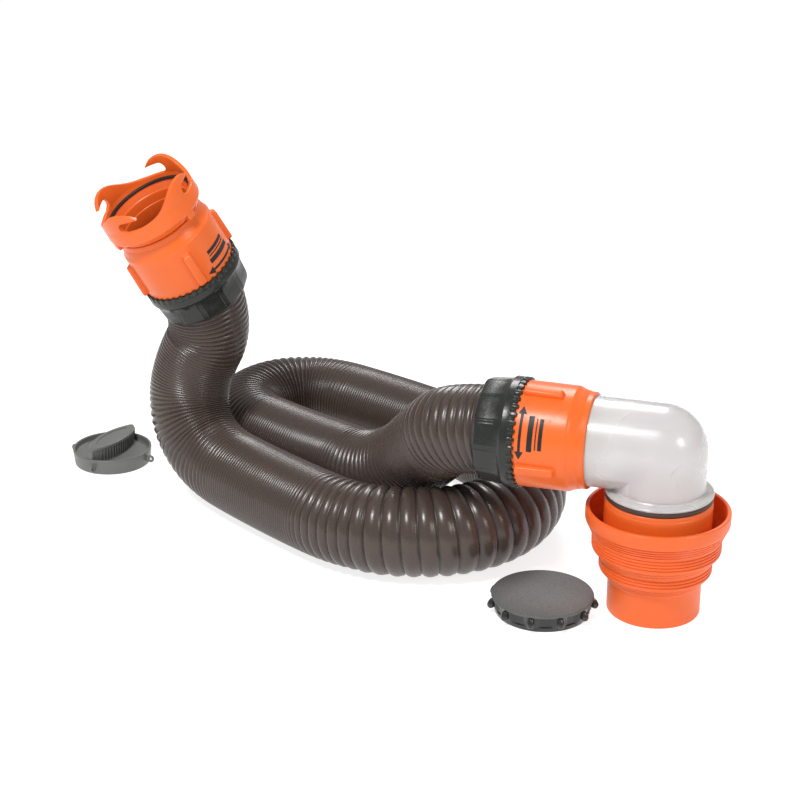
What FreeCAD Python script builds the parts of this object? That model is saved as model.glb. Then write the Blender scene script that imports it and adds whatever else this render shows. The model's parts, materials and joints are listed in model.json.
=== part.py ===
"""Sewer hose kit for a caravan: hose, bayonet fitting, elbow, stepped adapter and two storage caps.

Millimetres, +Z up, the floor at z = 0. The origin is on the floor, at the middle of the footprint
of the fittings and caps. Each fitting is drawn in a frame of its own, whose Z axis is the axis of
the pipe and whose zero is the joint between collar and locking ring.
"""
import FreeCAD
import Part
import Sketcher
import math
import os

Vector = FreeCAD.Vector

doc = FreeCAD.newDocument("sewer_hose_kit")
sheet = doc.addObject("Spreadsheet::Sheet", "Dims")

# Driving dimensions: name, value in millimetres (or degrees, or a count), meaning.
DIMENSIONS = (
    ("hose_outer", 43.5, "outer radius of the corrugated hose"),
    ("hose_bore", 40.4, "inner radius of the hose, so that its wall has the real hose's weight"),
    ("hose_inserted", 14.5, "how far the hose reaches past the joint into each collar"),
    ("collar_outer", 50.5, "outer radius of both collars"),
    ("collar_length", 68, "collar, joint to nose"),
    ("collar_shoulder", 13, "length of the coned nose"),
    ("collar_chamber", 47, "bore of the collar that holds collet and swivel flange"),
    ("nose_bore", 43.1, "bore of the collar's nose, a running fit on the swivelling pipe"),
    ("nose_outer", 45.2, "outer radius at the tip of the nose"),
    ("rib_count", 4, "grip ribs round a collar"),
    ("rib_width", 10, "width of a grip rib"),
    ("rib_reach", 54, "radius at the crown of a grip rib"),
    ("rib_length", 41, "length of a grip rib"),
    ("collet_outer", 46.9, "outer radius of the hose collet"),
    ("collet_bore", 43.6, "bore of the collet round the hose"),
    ("collet_tail", 16, "collet behind the joint, under the locking ring"),
    ("collet_end", 42, "inner end of the collet"),
    ("waterway", 39.5, "radius of the clear way through the fittings"),
    ("seal_thick", 4, "thickness of the hose seal and of the swivel seal"),
    ("lock_length", 38, "locking ring, joint to back edge"),
    ("lock_gap", 0.3, "gap between locking ring and collar"),
    ("lock_flange", 53.3, "radius of the toothed flange"),
    ("lock_flange_long", 10, "length of the toothed flange"),
    ("lock_grip", 51, "radius of the fluted grip"),
    ("lock_back", 48.2, "radius of the locking ring's back edge"),
    ("lock_thread", 47.2, "bore over the collet"),
    ("lock_throat", 46.2, "bore behind the collet, where the hose leaves"),
    ("tooth_count", 40, "teeth on the flange"),
    ("flute_count", 12, "flutes in the grip"),
    ("pipe_outer", 43, "outer radius of the swivelling pipe"),
    ("pipe_bore", 40, "bore of the swivelling pipe"),
    ("swivel_flange", 46.8, "radius of the flange that keeps the pipe in the collar"),
    ("swivel_start", 46.4, "inner end of the swivel flange"),
    ("swivel_end", 55.8, "outer end of the swivel flange"),
    ("ring_base", 70.5, "where the bayonet ring starts, past the nose"),
    ("ring_outer", 52.5, "outer radius of the bayonet ring"),
    ("ring_inner", 48, "inner radius of the mouth wall"),
    ("ring_seat", 84, "gasket seat"),
    ("ring_rim", 91, "rim of the mouth"),
    ("hook_count", 4, "bayonet hooks"),
    ("hook_height", 22, "hook above the rim"),
    ("hook_slot", 6, "height of the slot under a claw"),
    ("elbow_high", 164.5, "height of the elbow's axis above the floor"),
    ("elbow_drop", 43.3, "elbow's axis to the underside of its outlet flange"),
    ("elbow_flange", 51.1, "radius of the outlet flange"),
    ("elbow_flange_thick", 4.5, "thickness of the outlet flange"),
    ("elbow_stub", 10, "stub below the outlet flange"),
    ("gasket_thick", 4.5, "thickness of the elbow's gasket"),
    ("gasket_outer", 50.6, "outer radius of the elbow's gasket"),
    ("sleeve_outer", 50.9, "outer radius of the adapter's hard sleeve"),
    ("sleeve_bore", 46.5, "bore of the sleeve"),
    ("sleeve_foot", 46, "height of the sleeve's foot above the spigot's end"),
    ("sleeve_floor", 43.5, "radius of the opening in the sleeve's foot"),
    ("spigot_outer", 44.45, "outer radius of the spigot, for 3 inch pipe"),
    ("spigot_bore", 40.5, "bore of the spigot"),
    ("spigot_length", 30, "length of the plain spigot"),
    ("step_one", 53.5, "radius of the first step"),
    ("step_two", 61, "radius of the second step"),
    ("bowl_outer", 68.2, "radius of the bowl's rim"),
    ("bowl_wall", 4, "wall of the bowl"),
    ("bowl_high", 105.7, "height of the bowl's rim"),
    ("lug_cap_outer", 44.5, "radius of the lug cap's rim"),
    ("lug_cap_high", 17, "height of the lug cap's rim"),
    ("lug_cap_foot", 42.5, "radius at the foot of the lug cap"),
    ("lug_cap_wall", 3, "wall of the lug cap"),
    ("handle_high", 29, "height of the lug cap's handle above the floor"),
    ("handle_wide", 22, "width of the handle"),
    ("eyelet_outer", 4.4, "outer radius of a lug eyelet"),
    ("eyelet_hole", 2, "hole through a lug eyelet"),
    ("eyelet_reach", 47.6, "radius on which the eyelets stand"),
    ("lid_outer", 49, "radius of the bayonet cap's disc"),
    ("lid_high", 18, "height of the bayonet cap"),
    ("lid_thick", 3.5, "thickness of the disc"),
    ("lid_wall", 46.5, "outer radius of the bayonet cap's wall"),
    ("lid_bore", 43.5, "inner radius of the bayonet cap's wall"),
    ("knob_count", 11, "grip knobs round the bayonet cap"),
    ("knob_size", 4, "radius of a grip knob"),
    ("knob_reach", 49.6, "radius on which the knobs stand"),
)


class Size:
    """A length that knows its value and the sheet expression that it is bound to."""

    def __init__(self, value, text):
        self.value = value
        self.text = text

    def __add__(self, other):
        other = as_size(other)
        return Size(self.value + other.value, f"({self.text} + {other.text})")

    def __sub__(self, other):
        other = as_size(other)
        return Size(self.value - other.value, f"({self.text} - {other.text})")

    def __mul__(self, factor):
        factor = as_size(factor)
        return Size(self.value * factor.value, f"({self.text} * {factor.text})")

    def __neg__(self):
        return self * -1


def as_size(amount):
    return amount if isinstance(amount, Size) else Size(float(amount), repr(amount))


class Dims:
    """The sheet's cells as attributes."""


dims = Dims()
for row, (alias, value, meaning) in enumerate(DIMENSIONS, start=1):
    sheet.set(f"A{row}", alias)
    sheet.set(f"B{row}", str(value))
    sheet.setAlias(f"B{row}", alias)
    sheet.set(f"C{row}", meaning)
    setattr(dims, alias, Size(float(value), f"Dims.{alias}"))
doc.recompute()


def bind(target, **sizes):
    """Set properties of a document object to sheet expressions."""
    for name, size in sizes.items():
        target.setExpression(name, as_size(size).text)


# ---------------------------------------------------------------- frames of the fittings

def frame(origin, axis, front):
    """A placement with Z along axis and X as near to front as the axis allows."""
    along = Vector(axis).normalize()
    across = Vector(front) - along * Vector(front).dot(along)
    across.normalize()
    return FreeCAD.Placement(origin, FreeCAD.Rotation(across, along.cross(across), along, "ZXY"))


def point_on(placement, distance):
    """A point on a fitting's axis."""
    return placement.multVec(Vector(0, 0, distance))


FRONT = Vector(0, -1, 0)
OUTLET = Vector(275, -168.5, 0)
ELBOW_TURN = -18.0
elbow_axis = FreeCAD.Rotation(Vector(0, 0, 1), ELBOW_TURN).multVec(Vector(1, 0, 0))
elbow_centre = OUTLET + Vector(0, 0, dims.elbow_high.value)
JOINT_TO_ELBOW = 131.5

bayonet_frame = frame(Vector(-188, 103, 255), Vector(-0.42, -0.27, 0.866), FRONT)
elbow_collar_frame = frame(elbow_centre - elbow_axis * JOINT_TO_ELBOW, elbow_axis, FRONT)
elbow_frame = FreeCAD.Placement(elbow_centre, FreeCAD.Rotation(Vector(0, 0, 1), ELBOW_TURN))
adapter_frame = FreeCAD.Placement(OUTLET, FreeCAD.Rotation())
lug_cap_frame = FreeCAD.Placement(Vector(-295.5, 186.5, 0), FreeCAD.Rotation())
bayonet_cap_frame = FreeCAD.Placement(Vector(168.5, -173.5, 0), FreeCAD.Rotation())


# ---------------------------------------------------------------- building helpers

parts = {}


def finish(label, shape_object, placement):
    """Name a finished sub-part and put it in its place."""
    shape_object.Label = label
    shape_object.Placement = placement
    parts[label] = shape_object
    return shape_object


def origin_feature(body, role):
    for feature in body.Origin.OriginFeatures:
        if feature.Role == role:
            return feature
    raise LookupError(role)


def outline_sketch(body, plane, corners):
    """A closed polygon on one of the body's origin planes, every corner bound to the sheet."""
    sketch = body.newObject("Sketcher::SketchObject", body.Name + "_outline")
    sketch.AttachmentSupport = [(origin_feature(body, plane), "")]
    sketch.MapMode = "FlatFace"
    corners = [(as_size(across), as_size(up)) for across, up in corners]
    spots = [Vector(across.value, up.value, 0) for across, up in corners]
    count = len(spots)
    for index, spot in enumerate(spots):
        sketch.addGeometry(Part.LineSegment(spot, spots[(index + 1) % count]), False)
    for index in range(count):
        sketch.addConstraint(Sketcher.Constraint("Coincident", index, 2, (index + 1) % count, 1))
    for index, sizes in enumerate(corners):
        for kind, size in zip(("DistanceX", "DistanceY"), sizes):
            number = sketch.addConstraint(Sketcher.Constraint(kind, -1, 1, index, 1, size.value))
            sketch.setExpression(f"Constraints[{number}]", size.text)
    return sketch


def turned(name, corners):
    """A body turned about its Z axis from a half section given as (radius, height) corners."""
    body = doc.addObject("PartDesign::Body", name)
    sketch = outline_sketch(body, "XZ_Plane", corners)
    turn = body.newObject("PartDesign::Revolution", name + "_turned")
    turn.Profile = sketch
    turn.ReferenceAxis = (sketch, ["V_Axis"])
    turn.Angle = 360
    sketch.Visibility = False
    return body


def repeat(body, feature, count):
    """Repeat a feature evenly round the body's Z axis."""
    pattern = body.newObject("PartDesign::PolarPattern", feature.Name + "_round")
    pattern.Originals = [feature]
    pattern.Axis = (origin_feature(body, "Z_Axis"), [""])
    pattern.Angle = 360
    bind(pattern, Occurrences=count)
    body.Tip = pattern
    return pattern


def turned_by(degrees):
    return FreeCAD.Placement(Vector(), FreeCAD.Rotation(Vector(0, 0, 1), degrees))


def add_box(body, name, kind, at_angle, low, size):
    """A box feature whose corner and size are bound to the sheet, turned about Z."""
    doc.recompute()
    box = body.newObject(f"PartDesign::{kind}Box", name)
    bind(box, Length=size[0], Width=size[1], Height=size[2])
    corner = Vector(*[as_size(length).value for length in low])
    box.Placement = turned_by(at_angle).multiply(FreeCAD.Placement(corner, FreeCAD.Rotation()))
    return box


# ---------------------------------------------------------------- the two collar assemblies

RIB_ANGLE = 19.0
TOOTH_DEPTH = 1.6
FLUTE_DEPTH = 2.2


def make_collar(label, placement):
    """Orange collar: bored chamber, coned nose with a running bore, four grip ribs."""
    cone = dims.collar_length - dims.collar_shoulder
    body = turned(label, [
        (dims.collar_chamber, 0),
        (dims.collar_outer, 0),
        (dims.collar_outer, cone),
        (dims.nose_outer, dims.collar_length),
        (dims.nose_bore, dims.collar_length),
        (dims.nose_bore, dims.swivel_end + 0.3),
        (dims.collar_chamber, dims.swivel_end + 0.3),
    ])
    inside = dims.collar_outer - 2
    rib = add_box(body, label + "_rib", "Additive", RIB_ANGLE,
                  (inside, dims.rib_width * -0.5, 0),
                  (dims.rib_reach - inside, dims.rib_width, dims.rib_length))
    repeat(body, rib, dims.rib_count)
    return finish(label, body, placement)


def make_collet(label, placement):
    """Split collet that grips the hose, with the stop that its seal rests on."""
    stop = dims.hose_inserted + dims.seal_thick
    body = turned(label, [
        (dims.collet_bore, -dims.collet_tail),
        (dims.collet_outer, -dims.collet_tail),
        (dims.collet_outer, dims.collet_end),
        (dims.waterway, dims.collet_end),
        (dims.waterway, stop),
        (dims.collet_bore, stop),
    ])
    slit_long = dims.collet_tail - 2
    slit = add_box(body, label + "_slit", "Subtractive", 45,
                   (dims.collet_bore - 1, -1, -dims.collet_tail - 0.01),
                   (dims.collet_outer - dims.collet_bore + 2, 2, slit_long))
    repeat(body, slit, dims.rib_count)
    return finish(label, body, placement)


def make_ring_seal(label, placement, inner, outer, start):
    """A flat rubber ring."""
    body = turned(label, [
        (inner, start),
        (outer, start),
        (outer, start + dims.seal_thick),
        (inner, start + dims.seal_thick),
    ])
    return finish(label, body, placement)


def make_locking_ring(label, placement):
    """Black locking ring: toothed flange, fluted grip, bore that closes the collet."""
    body = turned(label, [
        (dims.lock_thread, -dims.lock_gap),
        (dims.lock_flange, -dims.lock_gap),
        (dims.lock_flange, -dims.lock_flange_long),
        (dims.lock_grip, -dims.lock_flange_long),
        (dims.lock_grip, -dims.lock_length * 0.82),
        (dims.lock_back, -dims.lock_length),
        (dims.lock_throat, -dims.lock_length),
        (dims.lock_throat, -dims.collet_tail - 1),
        (dims.lock_thread, -dims.collet_tail - 1),
    ])
    tooth = add_box(body, label + "_tooth", "Subtractive", 0,
                    (dims.lock_flange - TOOTH_DEPTH, -1.2, -dims.lock_gap - 5),
                    (TOOTH_DEPTH + 2, 2.4, 6))
    repeat(body, tooth, dims.tooth_count)
    flute = add_box(body, label + "_flute", "Subtractive", 15,
                    (dims.lock_grip - FLUTE_DEPTH, -5, -dims.lock_length - 1),
                    (FLUTE_DEPTH + 4, 10, dims.lock_length - dims.lock_flange_long))
    repeat(body, flute, dims.flute_count)
    return finish(label, body, placement)


for end, placement in (("bayonet", bayonet_frame), ("elbow", elbow_collar_frame)):
    make_collar(f"{end}_collar", placement)
    make_collet(f"{end}_collet", placement)
    make_ring_seal(f"{end}_hose_seal", placement, dims.waterway, dims.hose_outer, dims.hose_inserted)
    make_ring_seal(f"{end}_swivel_seal", placement, dims.waterway + 1, dims.swivel_flange,
                   dims.collet_end + 0.1)
    make_locking_ring(f"{end}_locking_ring", placement)


# ---------------------------------------------------------------- the bayonet ring

HOOK_TURN = 73.0
ring_body = turned("ring_turned", [
    (dims.pipe_bore, dims.swivel_start),
    (dims.swivel_flange, dims.swivel_start),
    (dims.swivel_flange, dims.swivel_end),
    (dims.pipe_outer, dims.swivel_end),
    (dims.pipe_outer, dims.ring_base - 1.5),
    (dims.collar_outer - 4, dims.ring_base),
    (dims.ring_outer, dims.ring_base + 8),
    (dims.ring_outer, dims.ring_rim),
    (dims.ring_inner, dims.ring_rim),
    (dims.ring_inner, dims.ring_seat),
    (dims.pipe_bore, dims.ring_seat),
])

# A hook as it looks from outside: a long slope that rises to a claw with a slot beneath it.
hook_top = dims.ring_rim + dims.hook_height
claw_foot = dims.ring_rim + dims.hook_slot
hook_blank = doc.addObject("PartDesign::Body", "hook_blank")
hook_sketch = outline_sketch(hook_blank, "YZ_Plane", [
    (-54, dims.ring_rim - 4),
    (-54, dims.ring_rim + 1),
    (-42, dims.ring_rim + 4),
    (-34, hook_top - 8),
    (-25, hook_top - 2),
    (-15, hook_top),
    (-6, hook_top - 3),
    (0, hook_top - 9),
    (-12, claw_foot + 2),
    (-18, claw_foot + 1),
    (-21, claw_foot - 3),
    (-20, dims.ring_rim - 4),
])
hook_pad = hook_blank.newObject("PartDesign::Pad", "hook_pad")
hook_pad.Profile = hook_sketch
bind(hook_pad, Length=dims.ring_outer + 10)
hook_sketch.Visibility = False
doc.recompute()

hook_tube_out = doc.addObject("Part::Cylinder", "hook_tube_out")
bind(hook_tube_out, Radius=dims.ring_outer, Height=hook_top + 5)
hook_tube_in = doc.addObject("Part::Cylinder", "hook_tube_in")
bind(hook_tube_in, Radius=dims.ring_inner + 0.5, Height=hook_top + 5)
hook_tube = doc.addObject("Part::Cut", "hook_tube")
hook_tube.Base = hook_tube_out
hook_tube.Tool = hook_tube_in
hook = doc.addObject("Part::Common", "hook")
hook.Base = hook_tube
hook.Tool = hook_blank
doc.recompute()

hook_copies = []
for index in range(int(dims.hook_count.value)):
    copy = doc.addObject("Part::Feature", f"hook_{index + 1}")
    copy.Shape = hook.Shape
    copy.Placement = turned_by(HOOK_TURN + index * 360.0 / dims.hook_count.value)
    hook_copies.append(copy)
ring = doc.addObject("Part::MultiFuse", "ring")
ring.Shapes = [ring_body] + hook_copies
finish("bayonet_ring", ring, bayonet_frame)

gasket = turned("mouth_gasket", [
    (dims.pipe_bore + 1.5, dims.ring_seat),
    (dims.ring_inner - 0.1, dims.ring_seat),
    (dims.ring_inner - 0.1, dims.ring_seat + 3.5),
    (dims.pipe_bore + 1.5, dims.ring_seat + 3.5),
])
finish("bayonet_gasket", gasket, bayonet_frame)


# ---------------------------------------------------------------- the elbow

def elbow_solid(name, radius, reach_back, reach_down):
    """Two cylinders that meet at right angles, with a ball at the outer corner."""
    leg = doc.addObject("Part::Cylinder", name + "_leg")
    bind(leg, Radius=radius, Height=reach_back)
    leg.Placement = FreeCAD.Placement(Vector(), FreeCAD.Rotation(Vector(0, 1, 0), -90))
    drop = doc.addObject("Part::Cylinder", name + "_drop")
    bind(drop, Radius=radius, Height=reach_down)
    drop.Placement = FreeCAD.Placement(Vector(), FreeCAD.Rotation(Vector(0, 1, 0), 180))
    ball = doc.addObject("Part::Sphere", name + "_ball")
    bind(ball, Radius=radius)
    joined = doc.addObject("Part::MultiFuse", name)
    joined.Shapes = [leg, drop, ball]
    return joined


def axial_disc(name, radius, thick, start, along_pipe):
    """A disc on one of the elbow's legs, start measured from the elbow's centre."""
    disc = doc.addObject("Part::Cylinder", name)
    bind(disc, Radius=radius, Height=thick)
    angle = -90 if along_pipe else 180
    turn = FreeCAD.Rotation(Vector(0, 1, 0), angle)
    disc.Placement = FreeCAD.Placement(turn.multVec(Vector(0, 0, as_size(start).value)), turn)
    return disc


joint_gap = Size(JOINT_TO_ELBOW, repr(JOINT_TO_ELBOW))
pipe_reach = joint_gap - dims.swivel_start
elbow_outer = elbow_solid("elbow_outer", dims.pipe_outer, pipe_reach, dims.elbow_drop)
swivel = axial_disc("elbow_swivel", dims.swivel_flange, dims.swivel_end - dims.swivel_start,
                    joint_gap - dims.swivel_end, True)
outlet = axial_disc("elbow_outlet", dims.elbow_flange, dims.elbow_flange_thick,
                    dims.elbow_drop - dims.elbow_flange_thick, False)
stub = axial_disc("elbow_stub", dims.pipe_outer - 0.4, dims.elbow_stub, dims.elbow_drop, False)
elbow_filled = doc.addObject("Part::MultiFuse", "elbow_filled")
elbow_filled.Shapes = [elbow_outer, swivel, outlet, stub]
elbow_inner = elbow_solid("elbow_inner", dims.pipe_bore, pipe_reach + 5,
                          dims.elbow_drop + dims.elbow_stub + 5)
elbow = doc.addObject("Part::Cut", "elbow_pipe")
elbow.Base = elbow_filled
elbow.Tool = elbow_inner
finish("elbow", elbow, elbow_frame)

elbow_gasket = turned("outlet_gasket", [
    (dims.pipe_outer, -dims.elbow_drop - dims.gasket_thick),
    (dims.gasket_outer, -dims.elbow_drop - dims.gasket_thick),
    (dims.gasket_outer, -dims.elbow_drop),
    (dims.pipe_outer, -dims.elbow_drop),
])
finish("elbow_gasket", elbow_gasket, elbow_frame)


# ---------------------------------------------------------------- the stepped adapter

sleeve_top = dims.elbow_high - dims.elbow_drop - dims.gasket_thick - 0.2
adapter_sleeve = turned("sleeve_turned", [
    (dims.sleeve_floor, dims.sleeve_foot),
    (dims.sleeve_outer, dims.sleeve_foot),
    (dims.sleeve_outer, sleeve_top),
    (dims.sleeve_bore, sleeve_top),
    (dims.sleeve_bore, dims.sleeve_foot + 4),
    (dims.sleeve_floor, dims.sleeve_foot + 4),
])
finish("adapter_sleeve", adapter_sleeve, adapter_frame)

seat = dims.sleeve_outer + 0.05
adapter_bowl = turned("bowl_turned", [
    (dims.spigot_bore, 0),
    (dims.spigot_outer, 0),
    (dims.spigot_outer, dims.spigot_length),
    (dims.step_one, 41),
    (dims.step_one, 52),
    (dims.step_two, 62),
    (dims.step_two, 75),
    (dims.bowl_outer, 86),
    (dims.bowl_outer, dims.bowl_high),
    (dims.bowl_outer - dims.bowl_wall, dims.bowl_high),
    (dims.bowl_outer - dims.bowl_wall, 88),
    (dims.step_two - dims.bowl_wall, 77),
    (dims.step_two - dims.bowl_wall, 65),
    (seat, 57),
    (seat, dims.sleeve_foot),
    (dims.spigot_bore, dims.spigot_length + 9),
])
finish("adapter_bowl", adapter_bowl, adapter_frame)


# ---------------------------------------------------------------- the lug cap

HANDLE_TURN = 63.0
EYELET_TURN = 70.0
dish_floor = dims.lug_cap_high - 4
lug_cap_shell = turned("lug_cap_shell", [
    (0, dish_floor - dims.lug_cap_wall),
    (dims.lug_cap_foot - dims.lug_cap_wall, dish_floor - dims.lug_cap_wall),
    (dims.lug_cap_foot - dims.lug_cap_wall, 0),
    (dims.lug_cap_foot, 0),
    (dims.lug_cap_outer, dish_floor),
    (dims.lug_cap_outer, dims.lug_cap_high),
    (dims.lug_cap_outer - dims.lug_cap_wall * 0.8, dims.lug_cap_high),
    (dims.lug_cap_outer - dims.lug_cap_wall * 0.8, dish_floor),
    (0, dish_floor),
])

# The handle is a pointed bar: the overlap of two equal discs, as long as the dish is wide.
handle_half = dims.lug_cap_outer.value - 0.5
half_wide = dims.handle_wide.value / 2
disc_radius = (handle_half ** 2 + half_wide ** 2) / (2 * half_wide)
handle_sides = []
for side in (-1, 1):
    disc = doc.addObject("Part::Cylinder", "handle_disc")
    disc.Radius = disc_radius
    bind(disc, Height=dims.handle_high - dish_floor + 1)
    disc.Placement.Base = Vector(0, side * (disc_radius - half_wide), (dish_floor - 1).value)
    handle_sides.append(disc)
handle = doc.addObject("Part::Common", "handle")
handle.Base, handle.Tool = handle_sides
doc.recompute()
handle.Placement = turned_by(HANDLE_TURN)

EYELET_LOW = 6.0
eyelet_stock = doc.addObject("PartDesign::Body", "eyelet_stock")
web_inside = dims.lug_cap_foot - 1
web = add_box(eyelet_stock, "eyelet_web", "Additive", EYELET_TURN,
              (web_inside, -2, EYELET_LOW), (dims.eyelet_reach - web_inside, 4, 5))
repeat(eyelet_stock, web, dims.hook_count)
eyelets, holes = [], []
for index in range(int(dims.hook_count.value)):
    angle = math.radians(EYELET_TURN + index * 360.0 / dims.hook_count.value)
    spot = Vector(math.cos(angle), math.sin(angle), 0) * dims.eyelet_reach.value
    for pieces, radius, low, high in ((eyelets, dims.eyelet_outer, EYELET_LOW, 5),
                                      (holes, dims.eyelet_hole, EYELET_LOW - 1, 7)):
        post = doc.addObject("Part::Cylinder", "eyelet")
        bind(post, Radius=radius, Height=as_size(high))
        post.Placement.Base = spot + Vector(0, 0, low)
        pieces.append(post)
cap_filled = doc.addObject("Part::MultiFuse", "cap_filled")
cap_filled.Shapes = [lug_cap_shell, handle, eyelet_stock] + eyelets
eyelet_holes = doc.addObject("Part::MultiFuse", "eyelet_holes")
eyelet_holes.Shapes = holes
lug_cap = doc.addObject("Part::Cut", "lug_cap_cut")
lug_cap.Base = cap_filled
lug_cap.Tool = eyelet_holes
finish("lug_cap", lug_cap, lug_cap_frame)


# ---------------------------------------------------------------- the bayonet cap

KNOB_TURN = 155.0
disc_under = dims.lid_high - dims.lid_thick
lid_shell = turned("lid_shell", [
    (0, disc_under),
    (dims.lid_bore, disc_under),
    (dims.lid_bore, 0),
    (dims.lid_wall, 0),
    (dims.lid_wall, disc_under),
    (dims.lid_outer, disc_under),
    (dims.lid_outer, dims.lid_high - 1),
    (dims.lid_outer - 2, dims.lid_high),
    (0, dims.lid_high),
])
claw = add_box(lid_shell, "lid_claw", "Additive", 25,
               (dims.lid_bore - 3, -9, 1), (4, 18, 3))
repeat(lid_shell, claw, dims.hook_count)
knobs = []
for index in range(int(dims.knob_count.value)):
    angle = math.radians(KNOB_TURN + index * 360.0 / dims.knob_count.value)
    knob = doc.addObject("Part::Cylinder", "knob")
    bind(knob, Radius=dims.knob_size, Height=disc_under - 4)
    knob.Placement.Base = Vector(math.cos(angle), math.sin(angle), 0) * dims.knob_reach.value
    knob.Placement.Base.z = 4
    knobs.append(knob)
lid = doc.addObject("Part::MultiFuse", "lid")
lid.Shapes = [lid_shell] + knobs
finish("bayonet_cap", lid, bayonet_cap_frame)

lid_gasket = turned("lid_gasket", [
    (dims.lid_bore - 7, disc_under - 3),
    (dims.lid_bore - 0.1, disc_under - 3),
    (dims.lid_bore - 0.1, disc_under),
    (dims.lid_bore - 7, disc_under),
])
finish("bayonet_cap_gasket", lid_gasket, bayonet_cap_frame)


# ---------------------------------------------------------------- the hose

FLOOR_LINE = dims.hose_outer.value
HOSE_LEAD = 66.0
ROUTE = (
    [point_on(bayonet_frame, dims.hose_inserted.value), point_on(bayonet_frame, -HOSE_LEAD)]
    + [
        Vector(-197, 130, 127),
        Vector(-197, 118, 77),
        Vector(-170, 86, FLOOR_LINE),
        Vector(-119, 25, FLOOR_LINE),
        Vector(-63, -36, FLOOR_LINE),
        Vector(-22, -78, FLOOR_LINE),
        Vector(28, -98, FLOOR_LINE),
        Vector(87, -97, FLOOR_LINE),
        Vector(138, -64, FLOOR_LINE),
        Vector(164, -6, FLOOR_LINE),
        Vector(158, 58, FLOOR_LINE),
        Vector(123, 118, FLOOR_LINE),
        Vector(78, 172, FLOOR_LINE),
        Vector(15, 230, FLOOR_LINE),
        Vector(-51, 285, FLOOR_LINE),
        Vector(-106, 283, FLOOR_LINE),
        Vector(-143, 243, FLOOR_LINE),
        Vector(-143, 189, FLOOR_LINE),
        Vector(-92, 134, FLOOR_LINE),
        Vector(-36, 84, FLOOR_LINE),
        Vector(0, 42, FLOOR_LINE + 2.5),
        Vector(38, 0, 72),
        Vector(66, -50, 121),
    ]
    + [
        point_on(elbow_collar_frame, -HOSE_LEAD),
        point_on(elbow_collar_frame, dims.hose_inserted.value),
    ]
)
TANGENT_SHARE = 0.45


def rounded_route(points):
    """Straight runs joined by tangent arcs, each arc as large as its two runs allow."""
    edges = []
    start = points[0]
    for before, corner, after in zip(points, points[1:], points[2:]):
        back = before - corner
        ahead = after - corner
        tangent = TANGENT_SHARE * min(back.Length, ahead.Length)
        turn = math.pi - back.getAngle(ahead)
        radius = tangent / math.tan(turn / 2)
        back.normalize()
        ahead.normalize()
        arc_start = corner + back * tangent
        arc_end = corner + ahead * tangent
        inward = (back + ahead).normalize()
        middle = corner + inward * (radius / math.cos(turn / 2) - radius)
        edges.append(Part.LineSegment(start, arc_start).toShape())
        edges.append(Part.Arc(arc_start, middle, arc_end).toShape())
        print(f"route corner {corner.x:.0f} {corner.y:.0f} {corner.z:.0f}: "
              f"turn {math.degrees(turn):.0f} deg, radius {radius:.0f} mm")
        start = arc_end
    edges.append(Part.LineSegment(start, points[-1]).toShape())
    return Part.Wire(edges)


def swept_tube(path, outer, inner):
    """A round tube along the path: a ring-shaped face carried along it."""
    start = path.Edges[0].Vertexes[0].Point
    heading = path.Edges[0].tangentAt(path.Edges[0].FirstParameter)
    rims = [Part.Wire([Part.Circle(start, heading, radius).toShape()]) for radius in (outer, inner)]
    section = Part.Face(rims[0]).cut(Part.Face(rims[1]))
    return path.makePipe(section.Faces[0])


hose_path = rounded_route(ROUTE)
hose = doc.addObject("Part::Feature", "hose")
hose.Shape = swept_tube(hose_path, dims.hose_outer.value, dims.hose_bore.value)
finish("hose", hose, FreeCAD.Placement())
hose_section = math.pi * (dims.hose_outer.value ** 2 - dims.hose_bore.value ** 2)
print(f"hose length {hose_path.Length:.0f} mm, volume over section times length "
      f"{hose.Shape.Volume / (hose_section * hose_path.Length):.4f}")


# ---------------------------------------------------------------- check and write

doc.recompute()
for thing in doc.Objects:
    if "Invalid" in thing.State or "Error" in thing.State:
        raise RuntimeError(f"{thing.Label} failed: {thing.State}")
for label, thing in parts.items():
    if thing.Shape.isNull() or not thing.Shape.isValid() or thing.Shape.Volume <= 0:
        raise RuntimeError(f"{label} has no valid shape")

os.makedirs("parts", exist_ok=True)
for label, thing in parts.items():
    thing.Shape.exportStep(f"parts/{label}.step")
    print(f"{label}: {thing.Shape.Volume / 1000:.1f} cm3, {len(thing.Shape.Solids)} solid(s)")
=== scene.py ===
# %% [markdown]
# # A sewer hose kit, modelled and finished
# A caravan's waste hose lies on the floor in loose curves. One end has an orange bayonet fitting,
# the other a clear elbow that stands on a stepped orange adapter, and two grey caps lie beside it.
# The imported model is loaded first. It fixes every place and size, so the work here is the looks.

# %% Load the frame
import bisect
import json
import math

import bpy
from mathutils import Matrix, Vector


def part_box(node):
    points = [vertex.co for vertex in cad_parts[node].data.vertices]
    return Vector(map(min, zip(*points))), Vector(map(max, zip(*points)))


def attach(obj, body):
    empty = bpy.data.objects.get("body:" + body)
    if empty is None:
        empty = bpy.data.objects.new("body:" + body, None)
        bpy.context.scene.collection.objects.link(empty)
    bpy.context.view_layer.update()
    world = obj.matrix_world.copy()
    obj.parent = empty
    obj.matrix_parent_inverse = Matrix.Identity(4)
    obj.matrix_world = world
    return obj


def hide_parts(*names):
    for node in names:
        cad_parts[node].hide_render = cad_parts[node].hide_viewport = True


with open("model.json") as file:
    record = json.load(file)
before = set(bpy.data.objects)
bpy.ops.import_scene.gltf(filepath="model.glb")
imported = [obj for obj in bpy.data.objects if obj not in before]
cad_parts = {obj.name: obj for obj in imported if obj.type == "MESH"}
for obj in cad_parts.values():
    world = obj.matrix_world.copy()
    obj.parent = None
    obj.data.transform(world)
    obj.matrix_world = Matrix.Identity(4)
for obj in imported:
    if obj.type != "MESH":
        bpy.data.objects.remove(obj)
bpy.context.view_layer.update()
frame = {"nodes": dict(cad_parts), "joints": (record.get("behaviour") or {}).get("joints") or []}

MM = 0.001
joints = {joint["name"]: joint for joint in frame["joints"]}

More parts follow.
